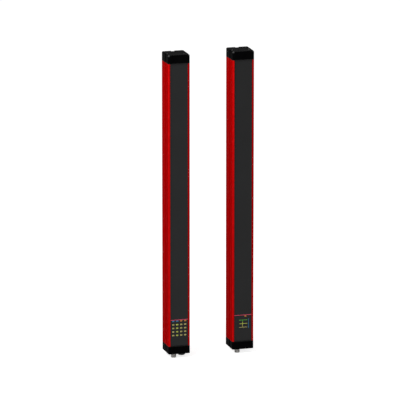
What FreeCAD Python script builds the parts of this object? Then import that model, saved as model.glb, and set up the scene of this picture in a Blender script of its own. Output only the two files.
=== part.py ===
"""Safety light curtain: a receiver bar and a transmitter bar, standing side by side.

Millimetres, +Z up, both windows facing -Y.  The receiver stands at -X and the transmitter at +X.
The origin is on the floor plane through the tips of the plugs, in the middle of the pair.
Every piece is modelled on the Z axis of its own bar and moved out to its bar when it is saved.
"""

import FreeCAD, Part

import math
import os

# ---------------------------------------------------------------- the pair and its bars
bar_spacing = 152.0            # from the middle of one bar to the middle of the other
bar_width = 52.0
bar_depth = 55.0
housing_length = 660.0

# ---------------------------------------------------------------- extruded housing
wall = 2.2
corner_front = 3.4             # round corners beside the window
corner_back = 3.8
side_lean = 0.6                # each side leans in by this much from the groove to the front
groove_from_front = 19.6       # side groove for clamps, from the front face to its near edge
groove_width = 6.0
groove_depth = 2.4
slot_mouth = 8.2               # rear slot for sliding nuts
slot_width = 13.6
slot_lip = 2.0
slot_height = 4.6
port_radius = 2.7              # round screw ports inside the four corners
port_hole_radius = 1.3
front_port_embed = 1.1         # how deep a port's round runs into the wall beside it
rear_port_embed = 0.3
shelf_thickness = 1.8          # shelf that carries the window seals
shelf_step = 0.6               # the shelf reaches this much further in than the lips
rib_thickness = 1.2            # rib that holds the optics board against its step
rib_reach = 1.8

# ---------------------------------------------------------------- front window and its seals
window_opening = 42.0          # clear width between the lips
lip_bevel_width = 0.5
lip_bevel_depth = 1.1
lip_land = 1.5
window_thickness = 3.0
window_overlap = 2.0           # how far the groove reaches behind each lip
window_play = 0.2
seal_thickness = 1.5
seal_width = 2.0

# ---------------------------------------------------------------- end caps, gaskets and screws
top_cap_height = 19.0
bottom_cap_height = 17.8
cap_wall = 2.4
cap_floor = 3.0
top_cap_bevel = 1.4
bottom_cap_bevel = 0.6
gasket_thickness = 1.0
post_radius = 3.0
screw_hole_radius = 1.6
screw_head_radius = 2.75
screw_head_height = 1.8
screw_head_room = 0.25         # round the head in its counterbore
screw_sink = 2.4               # from the cap's outer face to the seat of the head
screw_grip = 8.0               # thread inside the housing
screw_key_radius = 1.3
screw_key_depth = 1.1

# ---------------------------------------------------------------- round plugs with M12 thread
plug_reach = 10.8              # thread that stands out of the bottom cap
plug_thread_radius = 6.0
plug_entry = 0.6               # bevel at the mouth of the shell
thread_relief_length = 1.2     # plain groove between the thread and the cap
thread_relief_depth = 0.6
plug_room = 0.1                # round the shell where it passes through the cap
plug_from_front = 14.6
plug_offset = 10.0             # from the bar's middle, towards the left seen from the front
plug_spacing = 18.7            # from the plug to the second socket
plug_bore_radius = 4.5
flange_radius = 7.0
flange_thickness = 1.8
sleeve_radius = 5.2            # rear sleeve of the shell, inside the cap
sleeve_length = 3.2
seal_ring_width = 0.7
seal_ring_depth = 1.0
clamp_ring_height = 2.5
clamp_wall = 0.9               # tube in the cap that the clamp ring screws into
clamp_notch = 1.6
insert_face = 8.0              # from the plug's tip to the face of its insert
pin_radius = 0.5
pin_circle = 2.75              # radius of the circle of pins
pin_setback = 2.2              # pin tips behind the plug's tip
pin_tail = 2.2                 # pins behind the insert
pin_point = 0.25
receiver_pins = 8
transmitter_pins = 5
plug_board_radius = 6.2
plug_board_thickness = 1.2
key_width = 1.2                # coding key inside the plug

# ---------------------------------------------------------------- second socket and its blank
bush_wall = 1.05               # metal round the socket's thread
socket_thread_radius = 5.5
blank_reach = 5.8
blank_head_radius = 9.0
blank_round = 3.4
blank_stem = 4.6
blank_flutes = 14
flute_radius = 1.3
flute_depth = 0.5
coin_slot_width = 2.0
coin_slot_depth = 1.5
nose_radius = 4.2              # nose of the socket's insert, inside the blank's stem
nose_room = 0.1
contact_radius = 0.7
contact_circle = 2.6
socket_contacts = 5

# ---------------------------------------------------------------- optics
display_height = 62.1          # from the foot of the housing to the display's top line
board_thickness = 1.6
board_play = 0.2
board_end_room = 5.0
port_to_board = 0.5
carrier_play = 0.5
beam_pitch = 50.0
beam_margin = 18.0             # from the housing's top end to the last beam
lens_radius = 9.0
lens_rise = 1.7
lens_plate = 1.6
lens_to_window = 1.0
chamber_foot = 7.0             # side of the square light chamber at its chip
chamber_step = 3.0             # straight part of the chamber at the board
chamber_wall = 1.6
carrier_end_room = 2.0
peg_radius = 1.2
peg_stand = 0.6
chip_side = 4.6                # emitters and detectors
chip_height = 1.0
emitter_foot = 1.8
emitter_tip = 1.2
emitter_rise = 1.4
detector_disc = 1.9
detector_rise = 0.6

# ---------------------------------------------------------------- display behind the window
field_rows = 5
field_row_pitch = 8.4
field_drop = 3.3               # from the display's top line to the middle of the top row
field_column_pitch = 9.5
field_columns = 4
field_width = 5.1
field_height = 3.0
film_thickness = 0.25
film_margin = 0.15
film_foot = 0.5
line_height = 1.2
mask_margin = 2.0              # round the outermost light ways
mask_room = 0.8                # between the mask and the status lights' board
pipe_plate = 0.8
pipe_room = 0.1
light_width = 2.0
light_length = 1.2
light_height = 0.7

# ladder diagram on the transmitter
ladder_rungs = 3
ladder_pitch = 8.6
ladder_drop = 12.4             # from the display's top line to the top rung
ladder_rung_height = 1.1
ladder_left = -8.7
ladder_right = 10.7
ladder_rail_width = 1.1
ladder_rail_middle = -0.6
ladder_rail_side = 13.6
ladder_overrun = 2.0           # the side rail runs past the top rung by this much
ladder_underrun = 2.3
mark_middle = 6.4              # small mark just under the display's top line
mark_width = 4.6
mark_height = 3.2
mark_gap = 0.4

# ---------------------------------------------------------------- control board behind the optics
control_half_width = 14.0
control_length = 140.0
control_foot = 8.0             # above the housing's foot
chip_room = 0.3                # between the processor and the casing of the rear slot
spacer_radius = 2.0
spacer_inset = 3.0
spacer_end = 12.0
header_width = 14.0
header_height = 4.0
processor_side = 12.0
processor_height = 1.6
driver_length = 8.0
driver_width = 5.0
driver_height = 1.4
chip_pitch = 27.0
ribbon_width = 6.0
ribbon_thickness = 0.5
ribbon_bend = 3.0
ribbon_level = 2.2             # its level run above the housing's foot
ribbon_lap = 4.0               # how far it runs up the control board to its socket
ribbon_socket_height = 3.0
ribbon_socket_depth = 2.0
spring_strip = 0.4
spring_width = 4.0
spring_foot = 5.0
spring_rise = 1.8
spring_from_top = 40.0

# ---------------------------------------------------------------- levels and places worked out
half = bar_width / 2
front_y = -bar_depth / 2
back_y = bar_depth / 2

cap_under_z = plug_reach
cap_floor_z = cap_under_z + cap_floor
foot_z = cap_under_z + bottom_cap_height + gasket_thickness
head_z = foot_z + housing_length
top_skirt_z = head_z + gasket_thickness
top_z = top_skirt_z + top_cap_height

window_y = front_y + lip_bevel_depth + lip_land
window_back_y = window_y + window_thickness
shelf_y = window_back_y + seal_thickness
chamber_y = shelf_y + shelf_thickness
window_half = window_opening / 2 + window_overlap

groove_y = front_y + groove_from_front
groove_back_y = groove_y + groove_width
groove_floor_x = half - groove_depth
middle_half = groove_floor_x - wall
front_half = half - side_lean - wall
rear_half = half - wall

slot_floor_y = back_y - slot_lip - slot_height
slot_wall_y = slot_floor_y - wall

board_y = groove_back_y + wall
board_back_y = board_y + board_thickness
board_half = rear_half - board_play
board_z = foot_z + board_end_room
board_top_z = head_z - board_end_room

front_port = (middle_half - port_radius + front_port_embed, board_y - port_to_board - port_radius)
rear_port = (rear_half - port_radius + rear_port_embed, back_y - wall - port_radius + rear_port_embed)
ports = [(side * x, y) for x, y in (front_port, rear_port) for side in (-1, 1)]

carrier_half = front_port[0] - port_radius - carrier_play
lens_tip_y = window_back_y + lens_to_window
lens_y = lens_tip_y + lens_rise
carrier_y = lens_y + lens_plate
carrier_z = foot_z + display_height + carrier_end_room
carrier_top_z = head_z - carrier_end_room
beam_count = int((carrier_top_z - carrier_z - 2 * lens_radius) / beam_pitch) + 1
beams = [head_z - beam_margin - beam_pitch * i for i in range(beam_count)]

plug_y = front_y + plug_from_front
plug_x = -plug_offset
socket_x = plug_x + plug_spacing
flange_z = cap_floor_z + flange_thickness
sleeve_z = flange_z + sleeve_length
pocket_radius = flange_radius + plug_room
tube_radius = pocket_radius + clamp_wall
tube_z = flange_z + clamp_ring_height

top_row_z = foot_z + display_height - field_drop
mask_top_z = top_row_z + field_height / 2 + mask_margin
mask_z = top_row_z - (field_rows - 1) * field_row_pitch - field_height / 2 - mask_margin
mask_y = lens_tip_y + pipe_plate
mask_back_y = board_y - light_height - mask_room

control_back_y = slot_wall_y - processor_height - chip_room
control_y = control_back_y - board_thickness
control_z = foot_z + control_foot
control_top_z = control_z + control_length


# ---------------------------------------------------------------- drawing helpers
def vector(x, y, z=0.0):
    return FreeCAD.Vector(x, y, z)


def outline(corners):
    """Face of a polygon whose corners (x, y, radius) are rounded by tangent arcs."""
    count = len(corners)
    points = [vector(x, y) for x, y, _ in corners]
    ends = []
    for i in range(count):
        before = (points[i - 1] - points[i]).normalize()
        after = (points[(i + 1) % count] - points[i]).normalize()
        radius = corners[i][2]
        half_angle = before.getAngle(after) / 2
        reach = radius / math.tan(half_angle)
        bisector = (before + after).normalize()
        middle = points[i] + bisector * (radius / math.sin(half_angle) - radius)
        ends.append((points[i] + before * reach, middle, points[i] + after * reach, radius))
    edges = []
    for i in range(count):
        start, middle, stop, radius = ends[i]
        if radius > 0:
            edges.append(Part.Arc(start, middle, stop).toShape())
        following = ends[(i + 1) % count][0]
        if stop.distanceToPoint(following) > 1e-6:
            edges.append(Part.LineSegment(stop, following).toShape())
    return Part.Face(Part.Wire(edges))


def rectangle(x0, x1, y0, y1):
    return outline([(x0, y0, 0), (x1, y0, 0), (x1, y1, 0), (x0, y1, 0)])


def mirrored_rectangles(x0, x1, y0, y1):
    return [rectangle(x0, x1, y0, y1), rectangle(-x1, -x0, y0, y1)]


def disc(x, y, radius):
    return Part.Face(Part.Wire(Part.makeCircle(radius, vector(x, y))))


def prism(face, z0, z1):
    """Solid of a plan face between two levels."""
    moved = face.translated(vector(0, 0, z0))
    return moved.extrude(vector(0, 0, z1 - z0))


def box(x0, x1, y0, y1, z0, z1):
    return Part.makeBox(x1 - x0, y1 - y0, z1 - z0, vector(x0, y0, z0))


def rod(x, y, radius, z0, z1):
    return Part.makeCylinder(radius, z1 - z0, vector(x, y, z0))


def rod_along_y(x, z, radius, y0, y1):
    return Part.makeCylinder(radius, y1 - y0, vector(x, y0, z), vector(0, 1, 0))


def turned(points, x, y):
    """Solid of revolution about the vertical line through (x, y) from (radius, z) points."""
    ring = [vector(radius, 0, z) for radius, z in points]
    face = Part.Face(Part.makePolygon(ring + ring[:1]))
    return face.revolve(vector(0, 0), vector(0, 0, 1), 360).translated(vector(x, y))


def leaf(path, thickness, bend):
    """Face of a leaf of even thickness along straight runs joined by bends of one mean radius."""
    points = [vector(x, y) for x, y in path]
    runs = [(after - before).normalize() for before, after in zip(points, points[1:])]
    sides = {1: [], -1: []}
    for i, point in enumerate(points):
        before = runs[max(i - 1, 0)]
        after = runs[min(i, len(runs) - 1)]
        mean = (before + after).normalize()
        normal = vector(-mean.y, mean.x)
        stretch = thickness / 2 / mean.dot(before)
        turn = before.cross(after).z
        for side in sides:
            place = point + normal * (side * stretch)
            inner = math.copysign(1, turn) * side
            radius = bend - inner * thickness / 2 if abs(turn) > 1e-6 else 0
            sides[side].append((place.x, place.y, radius))
    return outline(sides[1] + sides[-1][::-1])


def less(shape, cutters):
    return shape.cut(cutters).removeSplitter()


def joined(shape, others):
    return shape.fuse(others).removeSplitter()


# ---------------------------------------------------------------- housing section
def outer_face(inset=0.0):
    """Rounded outside of the bar, before its grooves and its rear slot."""
    front_x = half - side_lean - inset
    side_x = half - inset
    front = max(corner_front - inset, 0.4)
    back = max(corner_back - inset, 0.4)
    right = [(front_x, front_y + inset, front), (side_x, groove_y, 0), (side_x, back_y - inset, back)]
    left = [(-x, y, radius) for x, y, radius in reversed(right)]
    return outline(right + left)


def rear_slot_faces():
    mouth = rectangle(-slot_mouth / 2, slot_mouth / 2, slot_floor_y, back_y + 1)
    undercut = rectangle(-slot_width / 2, slot_width / 2, slot_floor_y, slot_floor_y + slot_height)
    return [mouth, undercut]


def groove_faces():
    return mirrored_rectangles(groove_floor_x, half + 1, groove_y, groove_back_y)


def slot_casing(thickness):
    """Metal or plastic that surrounds the rear slot."""
    side = slot_width / 2 + thickness
    return rectangle(-side, side, slot_floor_y - thickness, back_y)


def groove_casings(thickness):
    """Material that surrounds the two side grooves."""
    inner = groove_floor_x - thickness
    return mirrored_rectangles(inner, half, groove_y - thickness, groove_back_y + thickness)


def housing_cavity():
    """Inside of the extrusion: a front room, a waist between the grooves and a rear room."""
    front_room = rectangle(-front_half, front_half, chamber_y, groove_back_y)
    rear_room = rectangle(-rear_half, rear_half, groove_back_y, back_y - wall)
    rib_y = board_back_y + board_play
    ribs = mirrored_rectangles(rear_half - rib_reach, rear_half + 1, rib_y, rib_y + rib_thickness)
    kept = ribs + groove_casings(wall) + [slot_casing(wall)]
    kept += [disc(x, y, port_radius) for x, y in ports]
    return front_room.fuse(rear_room).removeSplitter().cut(kept)


def window_groove_faces():
    """Opening with bevelled lips, the groove behind them and the way through the shelf."""
    lip = window_opening / 2
    brink = lip + lip_bevel_width
    bevel_y = front_y + lip_bevel_depth
    mouth = outline([(-brink, front_y, 0), (brink, front_y, 0), (lip, bevel_y, 0), (lip, window_y, 0),
                     (-lip, window_y, 0), (-lip, bevel_y, 0)])
    groove = rectangle(-window_half, window_half, window_y, shelf_y)
    inner = lip - shelf_step
    through = rectangle(-inner, inner, shelf_y, chamber_y)
    return [mouth, groove, through]


def make_housing():
    holes = [disc(x, y, port_hole_radius) for x, y in ports]
    cutters = window_groove_faces() + groove_faces() + rear_slot_faces() + holes + [housing_cavity()]
    section = outer_face().cut(cutters)
    return prism(section, foot_z, head_z)


# ---------------------------------------------------------------- window and seals
def make_front_window():
    side = window_half - window_play
    return box(-side, side, window_y, window_back_y, foot_z, head_z)


def make_window_seals():
    """Two rubber strips with rounded inner edges, squeezed between window and shelf."""
    outer = window_half - window_play
    inner = outer - seal_width
    round_off = min(seal_thickness, seal_width) * 0.3
    strips = []
    for side in (-1, 1):
        corners = [(side * inner, window_back_y, round_off), (side * outer, window_back_y, 0),
                   (side * outer, shelf_y, 0), (side * inner, shelf_y, round_off)]
        strips.append(prism(outline(corners), foot_z, head_z))
    return Part.makeCompound(strips)


# ---------------------------------------------------------------- end caps, gaskets and screws
def cap_cavity():
    kept = groove_casings(cap_wall) + [slot_casing(cap_wall)]
    kept += [disc(x, y, post_radius) for x, y in ports]
    return outer_face(cap_wall).cut(kept)


def cap_body(outer_z, skirt_z, bevel):
    """Cap with a bevelled outer end, hollow towards the skirt, with the bar's slot and grooves."""
    up = 1 if skirt_z > outer_z else -1
    body = prism(outer_face(), min(outer_z, skirt_z), max(outer_z, skirt_z))
    rim = [edge for edge in body.Edges if all(abs(v.Z - outer_z) < 1e-6 for v in edge.Vertexes)]
    body = body.makeChamfer(bevel, rim)
    inner_z = outer_z + up * cap_floor
    low, high = min(outer_z, skirt_z) - 1, max(outer_z, skirt_z) + 1
    cutters = [prism(face, low, high) for face in groove_faces() + rear_slot_faces()]
    cutters.append(prism(cap_cavity(), min(inner_z, skirt_z), max(inner_z, skirt_z)))
    return less(body, cutters)


def screw_passages(outer_z, skirt_z):
    up = 1 if skirt_z > outer_z else -1
    seat_z = outer_z + up * screw_sink
    cuts = []
    for x, y in ports:
        cuts.append(rod(x, y, screw_hole_radius, min(outer_z, skirt_z), max(outer_z, skirt_z)))
        sink_radius = screw_head_radius + screw_head_room
        cuts.append(rod(x, y, sink_radius, min(outer_z, seat_z), max(outer_z, seat_z)))
    return cuts


def make_top_cap():
    return less(cap_body(top_z, top_skirt_z, top_cap_bevel), screw_passages(top_z, top_skirt_z))


def make_bottom_cap(has_socket):
    """Cap with a tube, a pocket and a passage for each round connector."""
    skirt_z = foot_z - gasket_thickness
    places = [(plug_x, plug_thread_radius + plug_room)]
    if has_socket:
        places.append((socket_x, socket_thread_radius + bush_wall + plug_room))
    tubes = [rod(x, plug_y, tube_radius, cap_floor_z, tube_z) for x, _ in places]
    body = joined(cap_body(cap_under_z, skirt_z, bottom_cap_bevel), tubes)
    cuts = screw_passages(cap_under_z, skirt_z)
    for x, passage_radius in places:
        cuts.append(rod(x, plug_y, pocket_radius, cap_floor_z, tube_z))
        cuts.append(rod(x, plug_y, passage_radius, cap_under_z, cap_floor_z))
        ring_radius = passage_radius + seal_ring_width
        cuts.append(rod(x, plug_y, ring_radius, cap_floor_z - seal_ring_depth, cap_floor_z))
    return less(body, cuts)


def make_end_gaskets():
    holes = [disc(x, y, screw_hole_radius) for x, y in ports]
    sheet = outer_face().cut(groove_faces() + rear_slot_faces() + holes + [cap_cavity()])
    low = prism(sheet, foot_z - gasket_thickness, foot_z)
    high = prism(sheet, head_z, top_skirt_z)
    return Part.makeCompound([low, high])


def make_cap_screw(length):
    """Screw on the Z axis, its seat at zero, its head upwards, with a hexagon key recess."""
    shank = rod(0, 0, port_hole_radius, -length, 0)
    head = rod(0, 0, screw_head_radius, 0, screw_head_height)
    rim = [edge for edge in head.Edges if abs(edge.CenterOfMass.z - screw_head_height) < 1e-6]
    head = head.makeChamfer(screw_head_height * 0.3, rim)
    turns = [math.radians(60 * i) for i in range(6)]
    corners = [(screw_key_radius * math.cos(t), screw_key_radius * math.sin(t), 0) for t in turns]
    key = prism(outline(corners), screw_head_height - screw_key_depth, screw_head_height)
    return less(joined(head, [shank]), [key])


def make_cap_screws():
    top_screw = make_cap_screw(top_z - screw_sink - head_z + screw_grip)
    low_screw = make_cap_screw(foot_z - cap_under_z - screw_sink + screw_grip)
    low_screw.rotate(vector(0, 0), vector(1, 0), 180)
    screws = []
    for x, y in ports:
        screws.append(top_screw.translated(vector(x, y, top_z - screw_sink)))
        screws.append(low_screw.translated(vector(x, y, cap_under_z + screw_sink)))
    return Part.makeCompound(screws)


# ---------------------------------------------------------------- round plug
def pin_places(count, circle):
    """All but one pin stand on a circle; the last stands in the middle."""
    ring = count - 1
    turns = [math.radians(90 + 360 * (i + 0.5) / ring) for i in range(ring)]
    places = [(circle * math.cos(t), circle * math.sin(t)) for t in turns]
    return places + [(0.0, 0.0)]


def make_plug_shell():
    """Threaded shell with a relief at the thread's root, flange and rear sleeve."""
    entry = plug_entry
    root_radius = plug_thread_radius - thread_relief_depth
    relief_z = cap_under_z - thread_relief_length
    points = [(plug_bore_radius, entry), (plug_bore_radius + entry, 0), (plug_thread_radius - entry, 0),
              (plug_thread_radius, entry), (plug_thread_radius, relief_z), (root_radius, relief_z),
              (root_radius, cap_under_z), (plug_thread_radius, cap_under_z),
              (plug_thread_radius, cap_floor_z), (flange_radius, cap_floor_z),
              (flange_radius, flange_z), (sleeve_radius, flange_z), (sleeve_radius, sleeve_z),
              (plug_bore_radius, sleeve_z)]
    return turned(points, plug_x, plug_y)


def make_plug_insert(pins):
    """Insulating insert that fills the shell's bore, with its key rib and holes for the pins."""
    body = rod(0, 0, plug_bore_radius, insert_face, sleeve_z)
    key_reach = plug_bore_radius - pin_circle - pin_radius
    key = box(-key_width / 2, key_width / 2, plug_bore_radius - key_reach / 2, plug_bore_radius,
              pin_setback, insert_face)
    key = key.common(rod(0, 0, plug_bore_radius, pin_setback, insert_face))
    holes = [rod(x, y, pin_radius, insert_face, sleeve_z) for x, y in pin_places(pins, pin_circle)]
    return less(joined(body, [key]), holes).translated(vector(plug_x, plug_y))


def make_plug_pins(pins):
    tail_z = sleeve_z + pin_tail
    point_radius = pin_radius - pin_point
    solids = []
    for x, y in pin_places(pins, pin_circle):
        outline_points = [(0, pin_setback), (point_radius, pin_setback),
                          (pin_radius, pin_setback + 2 * pin_point), (pin_radius, tail_z), (0, tail_z)]
        solids.append(turned(outline_points, plug_x + x, plug_y + y))
    return Part.makeCompound(solids)


def seal_ring(x, inner_radius):
    """Rubber ring with a flattened round section, in the groove under a flange."""
    outer_radius = inner_radius + seal_ring_width
    cut = 0.2 * seal_ring_width
    low_z = cap_floor_z - seal_ring_depth
    points = [(inner_radius, low_z + cut), (inner_radius + cut, low_z), (outer_radius - cut, low_z),
              (outer_radius, low_z + cut), (outer_radius, cap_floor_z - cut),
              (outer_radius - cut, cap_floor_z), (inner_radius + cut, cap_floor_z),
              (inner_radius, cap_floor_z - cut)]
    return turned(points, x, plug_y)


def make_seal_rings(has_socket):
    rings = [seal_ring(plug_x, plug_thread_radius)]
    if has_socket:
        rings.append(seal_ring(socket_x, socket_thread_radius + bush_wall))
    return Part.makeCompound(rings)


def make_clamp_rings(has_socket):
    """Threaded rings with two notches for a key; they press the flanges onto their seals."""
    rings = []
    for x in [plug_x] + [socket_x] * has_socket:
        ring = rod(0, 0, pocket_radius, flange_z, tube_z).cut(rod(0, 0, sleeve_radius, flange_z, tube_z))
        notch = box(-pocket_radius, pocket_radius, -clamp_notch / 2, clamp_notch / 2,
                    tube_z - clamp_ring_height / 2, tube_z)
        rings.append(less(ring, [notch]).translated(vector(x, plug_y)))
    return Part.makeCompound(rings)


def make_plug_board(pins):
    """Small round board soldered to the tails of the pins."""
    board = rod(0, 0, plug_board_radius, sleeve_z, sleeve_z + plug_board_thickness)
    holes = [rod(x, y, pin_radius, sleeve_z, sleeve_z + plug_board_thickness)
             for x, y in pin_places(pins, pin_circle)]
    return less(board, holes).translated(vector(plug_x, plug_y))


# ---------------------------------------------------------------- second socket and its blank
def make_socket_shell():
    """Bush with an inside thread, flush with the cap, with a flange and a rear sleeve."""
    bush_radius = socket_thread_radius + bush_wall
    shoulder_z = cap_under_z + blank_stem
    points = [(socket_thread_radius, cap_under_z), (bush_radius, cap_under_z), (bush_radius, cap_floor_z),
              (flange_radius, cap_floor_z), (flange_radius, flange_z), (sleeve_radius, flange_z),
              (sleeve_radius, sleeve_z), (plug_bore_radius, sleeve_z), (plug_bore_radius, shoulder_z),
              (socket_thread_radius, shoulder_z)]
    return turned(points, socket_x, plug_y)


def contact_places():
    return pin_places(socket_contacts, contact_circle)


def make_socket_insert():
    """Insert with a nose inside the thread and a row of holes for its contacts."""
    shoulder_z = cap_under_z + blank_stem
    nose = rod(0, 0, nose_radius, cap_under_z + 1, shoulder_z)
    body = rod(0, 0, plug_bore_radius, shoulder_z, sleeve_z)
    holes = [rod(x, y, contact_radius, cap_under_z, sleeve_z) for x, y in contact_places()]
    return less(joined(body, [nose]), holes).translated(vector(socket_x, plug_y))


def make_socket_contacts():
    """Hollow spring contacts in the socket's insert."""
    low_z = cap_under_z + 2
    hollow_z = cap_under_z + blank_stem
    inner = contact_radius * 0.6
    points = [(inner, low_z), (contact_radius, low_z), (contact_radius, sleeve_z), (0, sleeve_z),
              (0, hollow_z), (inner, hollow_z)]
    return Part.makeCompound([turned(points, socket_x + x, plug_y + y) for x, y in contact_places()])


def make_blank_plug():
    """Round screw plug with a domed fluted head, a coin slot and a hollow stem."""
    tip_z = cap_under_z - blank_reach
    head = rod(0, 0, blank_head_radius, tip_z, cap_under_z)
    rim = [edge for edge in head.Edges if abs(edge.CenterOfMass.z - tip_z) < 1e-6]
    head = head.makeFillet(blank_round, rim)
    stem_z = cap_under_z + blank_stem
    stem = rod(0, 0, socket_thread_radius, cap_under_z, stem_z)
    hollow = rod(0, 0, nose_radius + nose_room, cap_under_z, stem_z)
    reach = blank_head_radius + flute_radius - flute_depth
    turns = [2 * math.pi * i / blank_flutes for i in range(blank_flutes)]
    flutes = [rod(reach * math.cos(t), reach * math.sin(t), flute_radius, tip_z + blank_round, cap_under_z)
              for t in turns]
    slot = box(-blank_head_radius, blank_head_radius, -coin_slot_width / 2, coin_slot_width / 2,
               tip_z, tip_z + coin_slot_depth)
    shape = less(joined(head, [stem]), [hollow, slot] + flutes)
    return shape.translated(vector(socket_x, plug_y))


# ---------------------------------------------------------------- optics
def make_optics_board():
    board = box(-board_half, board_half, board_y, board_back_y, board_z, board_top_z)
    holes = [rod_along_y(0, z, peg_radius, board_y, board_back_y) for z in peg_levels()]
    return less(board, holes)


def peg_levels():
    """Pegs stand between the beams at the foot, in the middle and at the head of the carrier."""
    middles = [z - beam_pitch / 2 for z in beams[:-1]]
    return [middles[0], middles[len(middles) // 2], middles[-1]]


def square_wire(side, y):
    """Upright square of a given side, centred on the Y axis."""
    reach = side / 2
    places = ((-reach, -reach), (reach, -reach), (reach, reach), (-reach, reach))
    corners = [vector(x, y, z) for x, z in places]
    return Part.makePolygon(corners + corners[:1])


def make_lens_carrier():
    """Moulded carrier: a tapering square light chamber for each beam, hollowed between them."""
    body = box(-carrier_half, carrier_half, carrier_y, board_y, carrier_z, carrier_top_z)
    taper = Part.makeLoft([square_wire(2 * lens_radius - chamber_wall, carrier_y),
                           square_wire(chamber_foot, board_y - chamber_step)], True)
    foot = box(-chamber_foot / 2, chamber_foot / 2, board_y - chamber_step, board_y,
               -chamber_foot / 2, chamber_foot / 2)
    cuts = [piece.translated(vector(0, 0, z)) for piece in (taper, foot) for z in beams]
    pocket_half_width = carrier_half - chamber_wall
    pocket_floor_y = carrier_y + chamber_wall
    for upper, lower in zip(beams[:-1], beams[1:]):
        room = upper - lower - 2 * (lens_radius + chamber_wall)
        middle = (upper + lower) / 2
        if room > 2 * chamber_wall:
            for side in (-1, 1):
                x0, x1 = sorted((side * (peg_radius + chamber_wall), side * pocket_half_width))
                cuts.append(box(x0, x1, pocket_floor_y, board_y, middle - room / 2, middle + room / 2))
    pegs = [rod_along_y(0, z, peg_radius, board_y, board_back_y + peg_stand) for z in peg_levels()]
    return joined(less(body, cuts), pegs)


def make_lens_strip():
    """Clear strip with a domed lens in front of each chamber."""
    strip = box(-carrier_half, carrier_half, lens_y, carrier_y, carrier_z, carrier_top_z)
    edge = vector(lens_radius, 0)
    crown = vector(0, -lens_rise)
    half_chord = vector(lens_radius * 0.5, 0)
    ball = (lens_radius ** 2 + lens_rise ** 2) / (2 * lens_rise)
    half_chord.y = ball - lens_rise - math.sqrt(ball ** 2 - half_chord.x ** 2)
    arc = Part.Arc(edge, half_chord, crown).toShape()
    lines = [Part.LineSegment(crown, vector(0, 0)).toShape(), Part.LineSegment(vector(0, 0), edge).toShape()]
    face = Part.Face(Part.Wire([arc] + lines))
    dome = face.revolve(vector(0, 0), vector(0, 1), 360)
    return joined(strip, [dome.translated(vector(0, lens_y, z)) for z in beams])


def beam_chip(tip):
    """Square chip on the front of the optics board with its light window."""
    side = chip_side / 2
    body = box(-side, side, board_y - chip_height, board_y, -side, side)
    return joined(body, [tip])


def make_emitters():
    tip = Part.makeCone(emitter_tip, emitter_foot, emitter_rise,
                        vector(0, board_y - chip_height - emitter_rise), vector(0, 1, 0))
    chip = beam_chip(tip)
    return Part.makeCompound([chip.translated(vector(0, 0, z)) for z in beams])


def make_detectors():
    disc_y = board_y - chip_height - detector_rise
    chip = beam_chip(rod_along_y(0, 0, detector_disc, disc_y, board_y - chip_height / 2))
    return Part.makeCompound([chip.translated(vector(0, 0, z)) for z in beams])


# ---------------------------------------------------------------- display
def row_levels():
    return [top_row_z - field_row_pitch * i for i in range(field_rows)]


def rung_levels():
    return [foot_z + display_height - ladder_drop - ladder_pitch * i for i in range(ladder_rungs)]


def column_places():
    middle = (field_columns - 1) / 2
    return [field_column_pitch * (i - middle) for i in range(field_columns)]


def light_places(is_receiver):
    """Status lights: two inner columns on the receiver, one on the transmitter."""
    if is_receiver:
        return [(x, z) for x in column_places()[1:-1] for z in row_levels()]
    return [(ladder_rail_middle, z) for z in rung_levels()]


def field_boxes(is_receiver):
    """Plan of every printed field on the display film, as (x0, x1, z0, z1)."""
    line_z = foot_z + display_height
    side = window_opening / 2 - film_margin
    fields = [(-side, side, line_z - line_height, line_z)]
    if is_receiver:
        for x in column_places():
            for z in row_levels():
                fields.append((x - field_width / 2, x + field_width / 2,
                               z - field_height / 2, z + field_height / 2))
        return fields
    for z in rung_levels():
        fields.append((ladder_left, ladder_rail_middle - ladder_rail_width / 2,
                       z - ladder_rung_height / 2, z + ladder_rung_height / 2))
        fields.append((ladder_rail_middle + ladder_rail_width / 2, ladder_right,
                       z - ladder_rung_height / 2, z + ladder_rung_height / 2))
    low = rung_levels()[-1] - ladder_rung_height / 2
    high = rung_levels()[0] + ladder_rung_height / 2
    fields.append((ladder_rail_middle - ladder_rail_width / 2, ladder_rail_middle + ladder_rail_width / 2,
                   low, high))
    fields.append((ladder_rail_side - ladder_rail_width / 2, ladder_rail_side + ladder_rail_width / 2,
                   low - ladder_underrun, high + ladder_overrun))
    mark_top = line_z - line_height - mark_gap
    fields.append((mark_middle - mark_width / 2, mark_middle + mark_width / 2,
                   mark_top - mark_height, mark_top))
    return fields


def make_display_fields(is_receiver):
    film_y = window_y - film_thickness
    inks = [box(x0, x1, film_y, window_y, z0, z1) for x0, x1, z0, z1 in field_boxes(is_receiver)]
    if is_receiver:
        return Part.makeCompound(inks)
    ladder = joined(inks[1], inks[2:-2])
    return Part.makeCompound([inks[0], ladder] + inks[-2:])


def make_display_film(is_receiver):
    """Film on the window, cut out where its fields are."""
    film_y = window_y - film_thickness
    side = window_opening / 2 - film_margin
    film = box(-side, side, film_y, window_y, foot_z + film_foot, foot_z + display_height)
    return less(film, [make_display_fields(is_receiver)])


def make_light_mask(is_receiver):
    """Black block that keeps the light of each status light in its own way."""
    body = box(-carrier_half, carrier_half, mask_y, mask_back_y, mask_z, mask_top_z)
    wide, high = field_width / 2 + pipe_room, field_height / 2 + pipe_room
    ways = [box(x - wide, x + wide, mask_y, mask_back_y, z - high, z + high)
            for x, z in light_places(is_receiver)]
    relief = box(-carrier_half + chamber_wall, carrier_half - chamber_wall, mask_back_y - chamber_wall,
                 mask_back_y, mask_z + chamber_wall, mask_top_z - chamber_wall)
    feet = [box(x0, x0 + chamber_wall, mask_back_y, board_y, mask_z, mask_top_z)
            for x0 in (-carrier_half, carrier_half - chamber_wall)]
    return joined(less(body, ways + [relief]), feet)


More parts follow.
